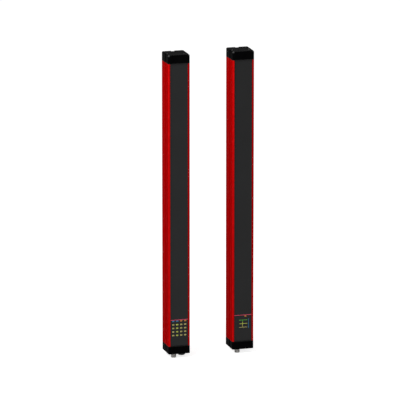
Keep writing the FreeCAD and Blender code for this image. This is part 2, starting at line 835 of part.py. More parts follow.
def make_light_pipes(is_receiver):
    """Clear front plate with a square light pipe for each status light."""
    plate = box(-carrier_half, carrier_half, lens_tip_y, mask_y, mask_z, mask_top_z)
    wide, high = field_width / 2, field_height / 2
    pipes = [box(x - wide, x + wide, mask_y, mask_back_y, z - high, z + high)
             for x, z in light_places(is_receiver)]
    return joined(plate, pipes)


def make_status_lights(is_receiver):
    lights = [box(x - light_width / 2, x + light_width / 2, board_y - light_height, board_y,
                  z - light_length / 2, z + light_length / 2) for x, z in light_places(is_receiver)]
    return Part.makeCompound(lights)


# ---------------------------------------------------------------- control board and its links
def make_control_board():
    return box(-control_half_width, control_half_width, control_y, control_back_y, control_z, control_top_z)


def make_control_chips():
    """Processor and drivers on the back of the control board, ribbon socket on its front."""
    chips = []
    middle_z = (control_z + control_top_z) / 2
    side = processor_side / 2
    chips.append(box(-side, side, control_back_y, control_back_y + processor_height,
                     middle_z - side, middle_z + side))
    for step in (-2, -1, 1, 2):
        z = middle_z + step * chip_pitch
        for x in (-driver_width, driver_width):
            chips.append(box(x - driver_width / 2, x + driver_width / 2, control_back_y,
                             control_back_y + driver_height, z - driver_length / 2, z + driver_length / 2))
    socket_z = control_z + ribbon_lap
    chips.append(box(-ribbon_width / 2 - 1 + plug_x, ribbon_width / 2 + 1 + plug_x,
                     control_y - ribbon_socket_depth, control_y, socket_z, socket_z + ribbon_socket_height))
    return Part.makeCompound(chips)


def make_board_spacers():
    """Round spacers and a pin header between the optics board and the control board."""
    side = control_half_width - spacer_inset
    levels = (control_z + spacer_end, control_top_z - spacer_end)
    spacers = [rod_along_y(x, z, spacer_radius, board_back_y, control_y)
               for x in (-side, side) for z in levels]
    middle_z = (control_z + control_top_z) / 2
    spacers.append(box(-header_width / 2, header_width / 2, board_back_y, control_y,
                       middle_z - header_height / 2, middle_z + header_height / 2))
    return Part.makeCompound(spacers)


def make_ribbon_cable():
    """Flat cable from the plug's board up, level under the boards, and up the control board."""
    start_y = plug_y + plug_board_radius - 2 * ribbon_thickness
    level_z = foot_z + ribbon_level
    end_y = control_y - ribbon_thickness / 2
    route = [(start_y, sleeve_z + plug_board_thickness), (start_y, level_z), (end_y, level_z),
             (end_y, control_z + ribbon_lap)]
    section = leaf(route, ribbon_thickness, ribbon_bend)
    section.rotate(vector(0, 0), vector(1, 1, 1), 120)
    section.translate(vector(plug_x - ribbon_width / 2, 0))
    return section.extrude(vector(ribbon_width, 0))


def make_earth_spring():
    """Bent leaf from the back of the optics board, over the board's rib, to the side wall."""
    z = head_z - spring_from_top
    foot_y = board_back_y + spring_strip / 2
    knee_x = rear_half - rib_reach - 2 * spring_strip
    crest_y = board_back_y + board_play + rib_thickness + 2 * spring_strip
    wall_x = rear_half - spring_strip / 2
    route = [(knee_x - spring_foot, foot_y), (knee_x, foot_y), (knee_x, crest_y),
             (wall_x, crest_y + spring_rise), (wall_x, crest_y + spring_rise + spring_foot / 2)]
    section = leaf(route, spring_strip, spring_strip)
    return prism(section, z - spring_width / 2, z + spring_width / 2)


# ---------------------------------------------------------------- the two bars
def common_pieces():
    return {
        "housing": make_housing(),
        "front_window": make_front_window(),
        "window_seals": make_window_seals(),
        "top_cap": make_top_cap(),
        "end_gaskets": make_end_gaskets(),
        "cap_screws": make_cap_screws(),
        "plug_shell": make_plug_shell(),
        "optics_board": make_optics_board(),
        "lens_carrier": make_lens_carrier(),
        "lens_strip": make_lens_strip(),
        "control_board": make_control_board(),
        "control_chips": make_control_chips(),
        "board_spacers": make_board_spacers(),
        "ribbon_cable": make_ribbon_cable(),
        "earth_spring": make_earth_spring(),
    }


def own_pieces(is_receiver):
    pins = receiver_pins if is_receiver else transmitter_pins
    pieces = {
        "bottom_cap": make_bottom_cap(is_receiver),
        "plug_insert": make_plug_insert(pins),
        "plug_pins": make_plug_pins(pins),
        "seal_rings": make_seal_rings(is_receiver),
        "clamp_rings": make_clamp_rings(is_receiver),
        "plug_board": make_plug_board(pins),
        "light_mask": make_light_mask(is_receiver),
        "light_pipes": make_light_pipes(is_receiver),
        "status_lights": make_status_lights(is_receiver),
        "display_film": make_display_film(is_receiver),
        "display_fields": make_display_fields(is_receiver),
    }
    if is_receiver:
        pieces["detectors"] = make_detectors()
        pieces["socket_shell"] = make_socket_shell()
        pieces["socket_insert"] = make_socket_insert()
        pieces["socket_contacts"] = make_socket_contacts()
        pieces["blank_plug"] = make_blank_plug()
    else:
        pieces["emitters"] = make_emitters()
    return pieces


os.makedirs("parts", exist_ok=True)
shared = common_pieces()
for bar_name, bar_x in (("receiver", -bar_spacing / 2), ("transmitter", bar_spacing / 2)):
    bar = {**shared, **own_pieces(bar_name == "receiver")}
    for piece_name, shape in bar.items():
        placed = shape.translated(vector(bar_x, 0))
        placed.exportStep(f"parts/{bar_name}_{piece_name}.step")
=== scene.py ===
"""Finishes, threaded plugs and studio stage for a pair of safety light curtain bars."""

import math

import bpy
import numpy as np
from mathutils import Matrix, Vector


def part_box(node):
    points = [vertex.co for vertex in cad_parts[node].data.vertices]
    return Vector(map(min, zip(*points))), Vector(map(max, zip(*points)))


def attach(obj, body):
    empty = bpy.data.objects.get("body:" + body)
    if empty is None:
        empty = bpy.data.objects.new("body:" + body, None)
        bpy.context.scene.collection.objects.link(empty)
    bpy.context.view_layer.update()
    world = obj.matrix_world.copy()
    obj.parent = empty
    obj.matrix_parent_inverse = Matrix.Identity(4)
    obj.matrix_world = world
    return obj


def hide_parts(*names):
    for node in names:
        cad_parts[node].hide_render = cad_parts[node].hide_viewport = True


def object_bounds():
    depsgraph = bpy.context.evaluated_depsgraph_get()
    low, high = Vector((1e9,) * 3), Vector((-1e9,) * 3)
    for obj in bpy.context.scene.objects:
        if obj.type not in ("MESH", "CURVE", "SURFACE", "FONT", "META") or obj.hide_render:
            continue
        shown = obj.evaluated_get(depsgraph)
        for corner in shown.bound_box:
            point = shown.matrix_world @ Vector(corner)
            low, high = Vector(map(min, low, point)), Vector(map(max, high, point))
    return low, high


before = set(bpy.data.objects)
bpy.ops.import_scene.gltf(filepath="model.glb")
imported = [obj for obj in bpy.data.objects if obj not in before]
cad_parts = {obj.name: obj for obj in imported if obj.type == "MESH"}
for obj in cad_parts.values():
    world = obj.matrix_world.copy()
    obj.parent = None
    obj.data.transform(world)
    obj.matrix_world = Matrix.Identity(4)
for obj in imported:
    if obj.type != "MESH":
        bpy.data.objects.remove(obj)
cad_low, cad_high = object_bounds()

bl_info = {
    "name": "Light curtain finish",
    "version": (1, 0, 0),
    "blender": (4, 5, 0),
    "location": "3D View > Sidebar > Light curtain",
    "description": "Finishes a pair of light curtain bars, threads their plugs and sets the stage",
    "category": "Object",
}

MM = 0.001
BARS = ("receiver", "transmitter")

# Finishes
PAINT_IOR = 1.015               # the paint is matt, with a faint sheen at a low angle
PRINT_IOR = 1.15
HIGHLIGHT_START = 3.4 * MM            # HIGHLIGHT_START = 3.4 * MM # from a sharp corner, along x plus y, to where the painted highlight starts HIGHLIGHT_FADE = 1.2 * MM # from there to where the painted highlight is whole POLISH_START = 6.5 * MM # like HIGHLIGHT_START, for the polish on the caps' upper corners
HIGHLIGHT_FADE = 1.2 * MM             # from there to where it is whole
POLISH_START = 6.5 * MM         # like HIGHLIGHT_START, for the polish on the caps' upper corners
PRINT_PATCHES = 420.0           # scale of the print's patches
FADED_PRINT = 0.62              # share of its colour that the print keeps where it is most faded

# Threaded plugs
FLANK_SLOPE = 1.35              # above 1, it gives the thread flat crests and roots
SHARP_ANGLE = math.radians(32)

# Stage
FLOOR_REACH = 60.0
FLOOR_LIFT = 0.78               # glow of the floor where it is seen directly, which makes it white
KEY_LAMP_OFFSET = Vector((-1.05, -0.75, 1.4))
KEY_LAMP_SIDE = 0.8
FILL_LAMP_OFFSET = Vector((-0.9, -3.2, 0.7))
FILL_LAMP_SIDE = 1.5
SENSOR_WIDTH = 36.0             # of the camera, in mm

# Printed fields, in mm from the bar's middle and the housing's foot.
X, Z = 0, 2
COLUMNS = (-19.0, 19.0)         # the receiver's four columns share this width equally
RUNGS = (28.2, 54.0)            # the ladder's three rungs share this height equally
UNDER_TOP_ROW = 54.5            # between the top row of fields and the row below it
UNDER_TOP_LINE = 60.7           # between the small mark and the line over the display
BESIDE_RUNGS = 12.0             # between the rungs and the ladder's side rail

# Each group has the axis and level past which it counts, the axis and span of its bands of ink, and
# the inks, which are settings below. A later group covers an earlier one.
RECEIVER_PRINT = (
    (Z, 0.0, X, COLUMNS, ("straw", "lime", "straw", "straw")),
    (Z, UNDER_TOP_ROW, X, COLUMNS, ("blue", "orange")),
    (Z, UNDER_TOP_LINE, X, COLUMNS, ("crimson",)),
)
TRANSMITTER_PRINT = (
    (Z, 0.0, Z, RUNGS, ("straw", "lime", "green")),
    (X, BESIDE_RUNGS, Z, RUNGS, ("blue",)),
    (Z, UNDER_TOP_ROW, X, COLUMNS, ("orange",)),
    (Z, UNDER_TOP_LINE, X, COLUMNS, ("crimson",)),
)


def bar_middle(bar):
    """Middle of a bar's width, in metres."""
    low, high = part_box(bar + "_housing")
    return (low.x + high.x) / 2


def housing_foot(bar):
    """Level of the lower end of a bar's housing, in metres."""
    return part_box(bar + "_housing")[0].z


# ------------------------------------------------------------------ settings
class CurtainInks(bpy.types.PropertyGroup):
    """Plain inks of the printed fields."""

    straw: bpy.props.FloatVectorProperty(
        name="Straw", description="Ink of most fields and of the bottom rung",
        subtype="COLOR", size=3, min=0, max=1, default=(0.45, 0.4, 0.15))
    lime: bpy.props.FloatVectorProperty(
        name="Lime", description="Ink of the receiver's second column and of the middle rung",
        subtype="COLOR", size=3, min=0, max=1, default=(0.5, 0.55, 0.1))
    green: bpy.props.FloatVectorProperty(
        name="Green", description="Ink of the ladder's top rung",
        subtype="COLOR", size=3, min=0, max=1, default=(0.1, 0.4, 0.05))
    blue: bpy.props.FloatVectorProperty(
        name="Blue", description="Ink of the top row's left half and of the ladder's side rail",
        subtype="COLOR", size=3, min=0, max=1, default=(0.05, 0.2, 0.4))
    orange: bpy.props.FloatVectorProperty(
        name="Orange", description="Ink of the top row's right half and of the small mark",
        subtype="COLOR", size=3, min=0, max=1, default=(0.5, 0.2, 0.05))
    crimson: bpy.props.FloatVectorProperty(
        name="Crimson", description="Ink of the line over each display",
        subtype="COLOR", size=3, min=0, max=1, default=(0.7, 0.08, 0.15))


class CurtainFinishes(bpy.types.PropertyGroup):
    """Colours of the visible surfaces."""

    paint: bpy.props.FloatVectorProperty(
        name="Housing paint", description="Colour of the painted extrusion",
        subtype="COLOR", size=3, min=0, max=1, default=(0.385, 0.0004, 0.0005))
    # painted highlight: lighter paint that the housings get along their upright corners
    corner_highlight_paint: bpy.props.FloatVectorProperty(
        name="Corner highlight paint", description="Colour of the paint along the upright corners",
        subtype="COLOR", size=3, min=0, max=1, default=(0.76, 0.009, 0.01))
    window: bpy.props.FloatVectorProperty(
        name="Window", description="Colour of the smoked front window",
        subtype="COLOR", size=3, min=0, max=1, default=(0.013, 0.0132, 0.0135))
    moulding: bpy.props.FloatVectorProperty(
        name="Black mouldings", description="Colour of the end caps",
        subtype="COLOR", size=3, min=0, max=1, default=(0.0016, 0.0016, 0.0018))
    blank: bpy.props.FloatVectorProperty(
        name="Blank plug", description="Colour of the screw-in blank beside the plug",
        subtype="COLOR", size=3, min=0, max=1, default=(0.024, 0.028, 0.027))
    nickel: bpy.props.FloatVectorProperty(
        name="Plug metal", description="Colour of the nickel plating on the plugs",
        subtype="COLOR", size=3, min=0, max=1, default=(0.36, 0.355, 0.345))


class CurtainThreads(bpy.types.PropertyGroup):
    """Sizes of the threaded plugs under the bars."""

    pitch: bpy.props.FloatProperty(
        name="Pitch", description="Height of one turn of the thread",
        unit="LENGTH", min=0.0005, default=1.0 * MM)
    depth: bpy.props.FloatProperty(
        name="Depth", description="Depth of the thread below its crests",
        unit="LENGTH", min=0.0001, default=0.55 * MM)
    rows: bpy.props.IntProperty(
        name="Rows", description="Rings of faces in one turn of the thread", min=6, default=10)
    segments: bpy.props.IntProperty(
        name="Segments", description="Faces round the plug", min=24, default=96)


class CurtainStage(bpy.types.PropertyGroup):
    """Camera, floor and lamps."""

    azimuth: bpy.props.FloatProperty(
        name="Azimuth", description="Turn of the camera round the pair; 0 faces the windows",
        subtype="ANGLE", default=math.radians(-16.25))
    elevation: bpy.props.FloatProperty(
        name="Elevation", description="Height of the camera above the level, as an angle",
        subtype="ANGLE", default=math.radians(13.5))
    distance: bpy.props.FloatProperty(
        name="Distance", description="From the camera to the middle of the pair",
        unit="LENGTH", min=1, default=10.15)
    picture_width: bpy.props.FloatProperty(
        name="Picture width", description="Width seen at the middle of the pair",
        unit="LENGTH", min=0.1, default=0.9139)
    aim_left: bpy.props.FloatProperty(
        name="Aim left", description="How far left of the middle the camera aims",
        unit="LENGTH", default=18.3 * MM)
    aim_up: bpy.props.FloatProperty(
        name="Aim up", description="How far above the middle the camera aims",
        unit="LENGTH", default=7.2 * MM)
    floor: bpy.props.FloatVectorProperty(
        name="Floor", description="Colour of the floor",
        subtype="COLOR", size=3, min=0, max=1, default=(0.7, 0.7, 0.7))
    key_power: bpy.props.FloatProperty(
        name="Key lamp", description="Power of the large lamp at the front left",
        unit="POWER", min=0, default=27.0)
    fill_power: bpy.props.FloatProperty(
        name="Fill lamp", description="Power of the lamp in front",
        unit="POWER", min=0, default=25.0)
    sky: bpy.props.FloatProperty(
        name="Sky", description="Strength of the even light from all round", min=0, default=0.34)


SETTINGS = {"curtain_inks": CurtainInks, "curtain_finishes": CurtainFinishes,
            "curtain_threads": CurtainThreads, "curtain_stage": CurtainStage}


# ------------------------------------------------------------------ node helpers
def place(tree, kind, values=None, **settings):
    """New node of a kind, with its attributes set and its inputs set or linked by name or number."""
    made = tree.nodes.new(kind)
    for key, value in settings.items():
        setattr(made, key, value)
    for key, value in (values or {}).items():
        if isinstance(value, bpy.types.NodeSocket):
            tree.links.new(value, made.inputs[key])
        else:
            made.inputs[key].default_value = value
    return made


def calculate(tree, operation, *values, clamp=False):
    """Output of a Math node over one, two or three values or sockets."""
    return place(tree, "ShaderNodeMath", dict(enumerate(values)),
                 operation=operation, use_clamp=clamp).outputs[0]


def blend_colours(tree, factor, first, second):
    """Colour between two colours or sockets; the factor 0 gives the first."""
    made = place(tree, "ShaderNodeMix", {"Factor": factor}, data_type="RGBA")
    colour_a, colour_b, result = made.inputs[6], made.inputs[7], made.outputs[2]
    for socket, value in ((colour_a, first), (colour_b, second)):
        if isinstance(value, bpy.types.NodeSocket):
            tree.links.new(value, socket)
        else:
            socket.default_value = opaque(value)
    return result


def opaque(colour):
    """A colour of three values with a full alpha."""
    return (*colour[:3], 1.0)


def start_group(name, inputs, outputs):
    """Node group with float or vector inputs and float outputs, and no nodes between them yet."""
    group = bpy.data.node_groups.new(name, "ShaderNodeTree")
    for label, kind, value in inputs:
        socket = group.interface.new_socket(name=label, in_out="INPUT", socket_type=kind)
        if value is not None:
            socket.default_value = value
    for label in outputs:
        group.interface.new_socket(name=label, in_out="OUTPUT", socket_type="NodeSocketFloat")
    return group, group.nodes.new("NodeGroupInput").outputs, group.nodes.new("NodeGroupOutput").inputs


def uneven_surface_group():
    """Slow variation of shade and gloss from a coarse noise, and a fine grain as height.

    Shade is the coarse noise stretched about its middle to run from 0 to 1. Gloss is the mean of the
    coarse and the fine noise. Height is the fine noise alone.
    """
    name = "Uneven surface"
    if name in bpy.data.node_groups:
        return bpy.data.node_groups[name]
    group, given, out = start_group(
        name,
        [("Place", "NodeSocketVector", None), ("Coarse", "NodeSocketFloat", 40.0),
         ("Fine", "NodeSocketFloat", 1500.0)],
        ("Shade", "Gloss", "Height"))
    coarse = place(group, "ShaderNodeTexNoise", {"Vector": given["Place"], "Scale": given["Coarse"],
                                                 "Detail": 3.0, "Roughness": 0.55})
    fine = place(group, "ShaderNodeTexNoise", {"Vector": given["Place"], "Scale": given["Fine"],
                                               "Detail": 4.0, "Roughness": 0.6})
    shade = place(group, "ShaderNodeMapRange", {"Value": coarse.outputs[0], "From Min": 0.3,
                                                "From Max": 0.7})
    both = calculate(group, "ADD", coarse.outputs[0], fine.outputs[0])
    group.links.new(shade.outputs[0], out["Shade"])
    group.links.new(calculate(group, "MULTIPLY", both, 0.5), out["Gloss"])
    group.links.new(fine.outputs[0], out["Height"])
    return group


def drawn_lines_group():
    """Fine straight lines left by drawing or turning.

    The place is squeezed to a fiftieth along the lines, so that a noise there becomes long streaks.
    """
    name = "Drawn lines"
    if name in bpy.data.node_groups:
        return bpy.data.node_groups[name]
    group, given, out = start_group(
        name,
        [("Place", "NodeSocketVector", None), ("Squeeze", "NodeSocketVector", (1.0, 1.0, 0.02)),
         ("Fineness", "NodeSocketFloat", 1800.0)],
        ("Lines",))
    squeezed = place(group, "ShaderNodeVectorMath", {0: given["Place"], 1: given["Squeeze"]},
                     operation="MULTIPLY")
    streaks = place(group, "ShaderNodeTexNoise", {"Vector": squeezed.outputs[0],
                                                  "Scale": given["Fineness"], "Detail": 2.0})
    group.links.new(streaks.outputs[0], out["Lines"])
    return group


def corner_highlight_and_polish_group():
    """Mask of the upright corners of a piece whose middle is at the origin.

    The distance outwards is the absolute width plus the absolute depth, less the reach at which a
    corner starts. The height times the lift is added to it, so a lift of 1 leaves only the upper end
    of each corner. Divided by the mask's width and clamped it is the mask, and a noise breaks it up.
    On the housings the mask places a painted highlight along the upright corners; on the top caps it
    places a clear coat.
    """
    name = "Rubbed corners"
    if name in bpy.data.node_groups:
        return bpy.data.node_groups[name]
    group, given, out = start_group(
        name,
        [("Place", "NodeSocketVector", None), ("Reach", "NodeSocketFloat", 0.037),
         ("Width", "NodeSocketFloat", 0.002), ("Lift", "NodeSocketFloat", 0.0)],
        ("Corner mask",))
    parts = place(group, "ShaderNodeSeparateXYZ", {0: given["Place"]}).outputs
    across = calculate(group, "ABSOLUTE", parts[0])
    along = calculate(group, "ABSOLUTE", parts[1])
    outwards = calculate(group, "MULTIPLY_ADD", parts[2], given["Lift"],
                         calculate(group, "ADD", across, along))
    past = calculate(group, "SUBTRACT", outwards, given["Reach"])
    mask = calculate(group, "DIVIDE", past, given["Width"], clamp=True)
    patches = place(group, "ShaderNodeTexNoise", {"Vector": given["Place"], "Scale": 90.0,
                                                  "Detail": 3.0}).outputs[0]
    group.links.new(calculate(group, "MULTIPLY", mask, patches), out["Corner mask"])
    return group


# ------------------------------------------------------------------ materials
def start_material(name):
    """Material with a bare Principled shader, and the place on the object as a socket."""
    material = bpy.data.materials.new(name)
    material.use_nodes = True
    tree = material.node_tree
    shader = tree.nodes["Principled BSDF"]
    where = place(tree, "ShaderNodeTexCoord").outputs["Object"]
    return material, tree, shader, where


def centred(tree, where, middle):
    """The place on the object, counted from a given middle."""
    return place(tree, "ShaderNodeVectorMath", {0: where, 1: middle}, operation="SUBTRACT").outputs[0]


def moulded_material(name, colour, gloss=(0.45, 0.6), coarse=40.0, fine=1500.0, bump=0.00003,
                     metallic=0.0, ior=1.3, spread=0.25, lines=None):
    """One finish: colour that drifts, gloss that varies and a fine grain, with drawn lines if asked.

    The colour runs from (1 - spread) to (1 + spread) times the given one.
    """
    material, tree, shader, where = start_material(name)
    surface = place(tree, "ShaderNodeGroup", node_tree=uneven_surface_group())
    tree.links.new(where, surface.inputs["Place"])
    surface.inputs["Coarse"].default_value = coarse
    surface.inputs["Fine"].default_value = fine
    dark = [c * (1 - spread) for c in colour]
    light = [min(1.0, c * (1 + spread)) for c in colour]
    shade = blend_colours(tree, surface.outputs["Shade"], dark, light)
    tree.links.new(shade, shader.inputs["Base Color"])
    roughness = place(tree, "ShaderNodeMapRange", {"Value": surface.outputs["Gloss"],
                                                   "From Min": 0.35, "From Max": 0.65,
                                                   "To Min": gloss[0], "To Max": gloss[1]})
    tree.links.new(roughness.outputs[0], shader.inputs["Roughness"])
    height = surface.outputs["Height"]
    if lines is not None:
        drawn = place(tree, "ShaderNodeGroup", node_tree=drawn_lines_group())
        tree.links.new(where, drawn.inputs["Place"])
        drawn.inputs["Squeeze"].default_value = lines
        height = calculate(tree, "ADD", height, drawn.outputs["Lines"])
    raised = place(tree, "ShaderNodeBump", {"Height": height, "Distance": bump, "Strength": 1.0})
    tree.links.new(raised.outputs[0], shader.inputs["Normal"])
    shader.inputs["Metallic"].default_value = metallic
    shader.inputs["IOR"].default_value = ior
    return material


def painted_material(name, finishes, bar):
    """Housing paint: fine orange peel, faint upright die lines and a painted highlight along the upright
    corners.
    """
    material, tree, shader, where = start_material(name)
    low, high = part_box(bar + "_housing")
    local = centred(tree, where, (low + high) / 2)
    surface = place(tree, "ShaderNodeGroup", node_tree=uneven_surface_group())
    tree.links.new(local, surface.inputs["Place"])
    surface.inputs["Coarse"].default_value = 26.0
    surface.inputs["Fine"].default_value = 1300.0
    corners = place(tree, "ShaderNodeGroup", node_tree=corner_highlight_and_polish_group())
    tree.links.new(local, corners.inputs["Place"])
    corners.inputs["Reach"].default_value = (high.x - low.x + high.y - low.y) / 2 - HIGHLIGHT_START
    corners.inputs["Width"].default_value = HIGHLIGHT_FADE
    drawn = place(tree, "ShaderNodeGroup", node_tree=drawn_lines_group())
    tree.links.new(local, drawn.inputs["Place"])
    drawn.inputs["Squeeze"].default_value = (1.0, 1.0, 0.01)
    drawn.inputs["Fineness"].default_value = 900.0
    dull = [c * 0.9 for c in finishes.paint]
    paint = blend_colours(tree, surface.outputs["Shade"], dull, finishes.paint)
    # painted highlight: the paint turns lighter along the upright corners, broken up by noise
    highlit_paint = blend_colours(tree, corners.outputs["Corner mask"], paint, finishes.corner_highlight_paint)
    tree.links.new(highlit_paint, shader.inputs["Base Color"])
    roughness = place(tree, "ShaderNodeMapRange", {"Value": surface.outputs["Gloss"],
                                                   "From Min": 0.35, "From Max": 0.65,
                                                   "To Min": 0.34, "To Max": 0.5})
    tree.links.new(roughness.outputs[0], shader.inputs["Roughness"])
    height = calculate(tree, "ADD", surface.outputs["Height"],
                       calculate(tree, "MULTIPLY", drawn.outputs["Lines"], 0.6))
    raised = place(tree, "ShaderNodeBump", {"Height": height, "Distance": 0.000012})
    tree.links.new(raised.outputs[0], shader.inputs["Normal"])
    shader.inputs["IOR"].default_value = PAINT_IOR
    return material


def polish_upper_corners(material, node):
    """Clear coat on the four upper corners of a CAD node."""
    tree = material.node_tree
    shader = tree.nodes["Principled BSDF"]
    low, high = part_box(node)
    middle = Vector(((low.x + high.x) / 2, (low.y + high.y) / 2, high.z))
    local = centred(tree, place(tree, "ShaderNodeTexCoord").outputs["Object"], middle)
    corners = place(tree, "ShaderNodeGroup", node_tree=corner_highlight_and_polish_group())
    tree.links.new(local, corners.inputs["Place"])
    corners.inputs["Reach"].default_value = (high.x - low.x + high.y - low.y) / 2 - POLISH_START
    corners.inputs["Lift"].default_value = 1.0
    polish = calculate(tree, "MULTIPLY", corners.outputs["Corner mask"], 2.0, clamp=True)
    tree.links.new(polish, shader.inputs["Coat Weight"])
    shader.inputs["Coat Roughness"].default_value = 0.3
    shader.inputs["Coat IOR"].default_value = 1.65


def stepped_ramp(tree, position, colours):
    """Bands of equal width, one for each colour, over positions from 0 to 1."""
    ramp = place(tree, "ShaderNodeValToRGB", {0: position})
    ramp.color_ramp.interpolation = "CONSTANT"
    stops = ramp.color_ramp.elements
    while len(stops) > 1:
        stops.remove(stops[-1])
    while len(stops) < len(colours):
        stops.new(1.0)
    for i, colour in enumerate(colours):
        stops[i].position = i / len(colours)
        stops[i].color = opaque(colour)
    return ramp.outputs[0]


def printed_material(name, bar, print_groups, inks):
    """Print of plain fields: each group in turn lays its bands over what is past its level."""
    material, tree, shader, where = start_material(name)
    local = centred(tree, where, Vector((bar_middle(bar), 0.0, housing_foot(bar))))
    parts = place(tree, "ShaderNodeSeparateXYZ", {0: local}).outputs
    print_colour = (0.0, 0.0, 0.0)
    for gate_axis, level, band_axis, (start, end), names in print_groups:
        span = place(tree, "ShaderNodeMapRange", {"Value": parts[band_axis], "From Min": start * MM,
                                                  "From Max": end * MM})
        bands = stepped_ramp(tree, span.outputs[0], [getattr(inks, ink) for ink in names])
        past = calculate(tree, "GREATER_THAN", parts[gate_axis], level * MM)
        print_colour = blend_colours(tree, past, print_colour, bands)
    surface = place(tree, "ShaderNodeGroup", node_tree=uneven_surface_group())
    tree.links.new(local, surface.inputs["Place"])
    surface.inputs["Coarse"].default_value = PRINT_PATCHES
    patchy = place(tree, "ShaderNodeMapRange", {"Value": surface.outputs["Shade"],
                                                "To Min": FADED_PRINT, "To Max": 1.0})
    faded = place(tree, "ShaderNodeVectorMath", {0: print_colour}, operation="SCALE")
    tree.links.new(patchy.outputs[0], faded.inputs["Scale"])
    tree.links.new(faded.outputs[0], shader.inputs["Base Color"])
    roughness = place(tree, "ShaderNodeMapRange", {"Value": surface.outputs["Gloss"],
                                                   "To Min": 0.3, "To Max": 0.5})
    tree.links.new(roughness.outputs[0], shader.inputs["Roughness"])
    raised = place(tree, "ShaderNodeBump", {"Height": surface.outputs["Height"], "Distance": 0.00001})
    tree.links.new(raised.outputs[0], shader.inputs["Normal"])
    shader.inputs["IOR"].default_value = PRINT_IOR
    return material


def wear(names, material):
    """Gives a material to every slot of the named CAD nodes."""
    for name in names:
        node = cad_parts[name]
        if not node.data.materials:
            node.data.materials.append(material)
        for slot in node.material_slots:
            slot.material = material


def on_bars(*names):
    """Names of CAD nodes on both bars; a name that only one bar has is given for that bar."""
    return [f"{bar}_{name}" for bar in BARS for name in names if f"{bar}_{name}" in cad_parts]


# ------------------------------------------------------------------ threaded plug
def threaded_shell(name, sizes, threads):
    """Closed shell turned round an upright axis, with a screw thread over part of its outside.

    The surface is a grid: one parameter runs round the closed section, the other round the axis. A
    point's radius is the section's radius, less the thread's depth times a wave of (height over pitch
    minus angle over a full turn). The wave rises and falls in straight flanks with flat tops and
    roots, and fades to nothing over one pitch at both ends of the thread.
    """
    middle_x, middle_y, section, thread_low, thread_high, thread_radius = sizes
    pitch = threads.pitch
    count = int(round((thread_high - thread_low) / pitch * threads.rows))
    heights = np.linspace(thread_low, thread_high, count + 1)
    threaded = np.column_stack([np.full(count + 1, thread_radius), heights])
    rows = np.vstack([section[0], threaded, section[1]])
    turned_rows = np.zeros(len(rows), bool)
    turned_rows[len(section[0]):len(section[0]) + count + 1] = True
    angle = np.linspace(0, 2 * math.pi, threads.segments, endpoint=False)
    radius, height = (np.repeat(rows[:, k:k + 1], threads.segments, axis=1) for k in (0, 1))
    phase = np.mod(height / pitch - angle[None, :] / (2 * math.pi), 1.0)
    wave = np.clip(FLANK_SLOPE * np.abs(2 * phase - 1) - (FLANK_SLOPE - 1) / 2, 0, 1)
    fade = np.clip(np.minimum(height - thread_low, thread_high - height) / pitch, 0, 1)
    radius = np.where(turned_rows[:, None], radius - threads.depth * wave * fade, radius)
    points = np.stack([middle_x + radius * np.cos(angle), middle_y + radius * np.sin(angle),
                       height + np.zeros_like(radius)], axis=-1).reshape(-1, 3)
    i, j = np.meshgrid(np.arange(len(rows)), np.arange(threads.segments), indexing="ij")
    i_next, j_next = (i + 1) % len(rows), (j + 1) % threads.segments
    corners = ((i, j), (i, j_next), (i_next, j_next), (i_next, j))
    faces = np.stack([row * threads.segments + column for row, column in corners], axis=-1)
    return closed_mesh(name, points, faces.reshape(-1, 4))


def closed_mesh(name, points, faces):
    """Mesh of a closed surface with its faces turned outwards, judged by its signed volume."""
    a, b, c, d = (points[faces[:, k]] for k in range(4))
    volume = np.einsum("ij,ij->i", a, np.cross(b, c) + np.cross(c, d)).sum()
    if volume < 0:
        faces = faces[:, ::-1]
    mesh = bpy.data.meshes.new(name)
    mesh.from_pydata(points.tolist(), [], faces.tolist())
    mesh.polygons.foreach_set("use_smooth", np.ones(len(faces), bool))
    mesh.set_sharp_from_angle(angle=SHARP_ANGLE)
    mesh.update()
    made = bpy.data.objects.new(name, mesh)
    bpy.context.scene.collection.objects.link(made)
    return made


def shell_section(bar):
    """The shell's section before and after its thread, and the thread's lower and upper end and radius.

    Both runs of the section are rows of (radius, height). Heights are counted from the shell's tip
    and top and from the underside of the bottom cap, so they follow the CAD nodes.
    """
    shell_low, shell_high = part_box(f"{bar}_plug_shell")
    tip, top, cap_under = shell_low.z, shell_high.z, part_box(f"{bar}_bottom_cap")[0].z
    bore, thread, root, flange, sleeve = (r * MM for r in (4.5, 6.0, 5.4, 7.0, 5.2))
    chamfer, groove, cap_sheet, flange_reach = (d * MM for d in (0.6, 1.2, 3.0, 4.8))
    entry, relief = tip + chamfer, cap_under - groove
    cap_floor, flange_top = cap_under + cap_sheet, cap_under + flange_reach
    before = np.array([(bore, top), (bore, entry), (bore + chamfer, tip), (thread - chamfer, tip)])
    after = np.array([(root, relief), (root, cap_under), (thread, cap_under), (thread, cap_floor),
                      (flange, cap_floor), (flange, flange_top), (sleeve, flange_top), (sleeve, top)])
    return (before, after), entry, relief, thread


# ------------------------------------------------------------------ operators
class CURTAIN_OT_housings(bpy.types.Operator):
    """Paint both housings."""

    bl_idname = "curtain.housings"
    bl_label = "Paint the housings"

    def execute(self, context):
        for bar in BARS:
            paint = painted_material(f"{bar} red paint", context.scene.curtain_finishes, bar)
            wear([f"{bar}_housing"], paint)
        return {"FINISHED"}


class CURTAIN_OT_windows(bpy.types.Operator):
    """Finish the smoked windows and their rubber seals."""

    bl_idname = "curtain.windows"
    bl_label = "Finish the windows"

    def execute(self, context):
        tint = context.scene.curtain_finishes.window
        smoked = moulded_material("smoked window", tint, gloss=(0.08, 0.16), coarse=14.0, fine=500.0,
                                  bump=0.000002, ior=1.2, spread=0.06)
        wear(on_bars("front_window"), smoked)
        rubber = moulded_material("black rubber", (0.012, 0.012, 0.012), gloss=(0.6, 0.8),
                                  fine=2600.0, bump=0.00002, ior=1.1)
        wear(on_bars("window_seals", "end_gaskets", "seal_rings"), rubber)
        return {"FINISHED"}


